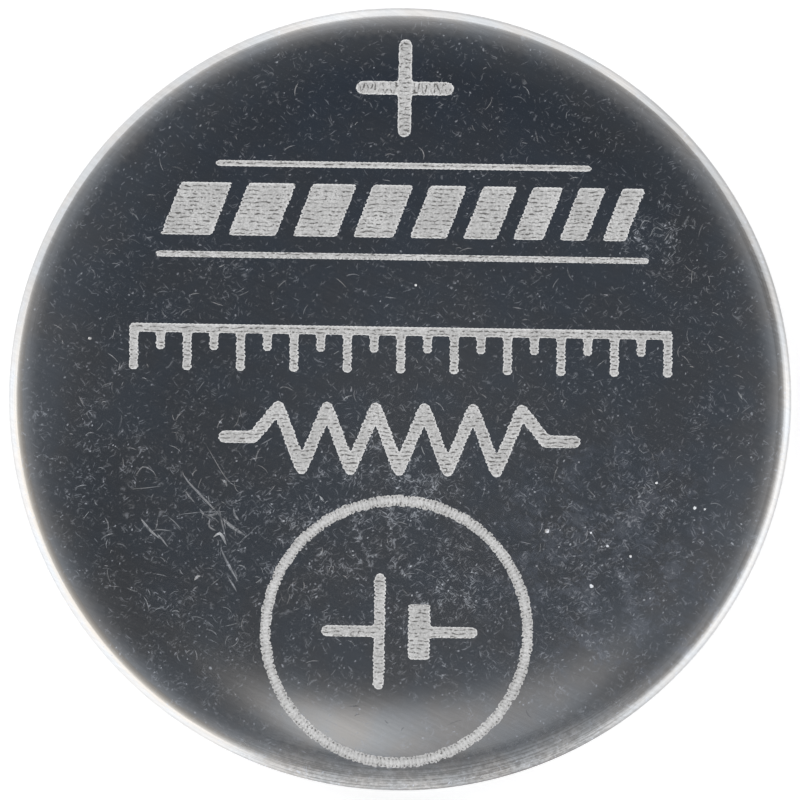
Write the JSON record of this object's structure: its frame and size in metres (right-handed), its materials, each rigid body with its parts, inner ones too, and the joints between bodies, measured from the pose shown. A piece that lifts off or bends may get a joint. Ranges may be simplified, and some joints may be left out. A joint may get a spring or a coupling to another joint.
{
  "type": "lithium coin cell",
  "caption": "Flat round lithium cell: crimped steel can and cap with a sealing gasket, holding a lithium disc, a separator cup, a pressed pellet and a mesh collector.",
  "frame": {"origin": "centre of the negative contact face, on the surface that the cell rests on", "axes": "+Z along the cell's axis from the negative to the positive face, +Y towards the plus sign on the positive face, +X to the right as the marks are seen"},
  "size_m": [0.02, 0.02, 0.0016],
  "materials": {
    "can_steel": "polished nickel-plated steel with fine handling scratches",
    "cap_steel": "bright pressed steel, satin",
    "gasket_plastic": "moulded polypropylene with a film of sealant",
    "collector_steel": "bare expanded metal",
    "cathode_powder": "pressed black powder",
    "separator_cloth": "white non-woven cloth",
    "lithium_metal": "soft rolled metal, dull silver"
  },
  "bodies": {
    "root": {"positive_can": "can_steel", "negative_cap": "cap_steel", "sealing_gasket": "gasket_plastic", "cathode_collector": "collector_steel", "cathode_pellet": "cathode_powder", "separator": "separator_cloth", "lithium_anode": "lithium_metal"}
  },
  "joints": []
}
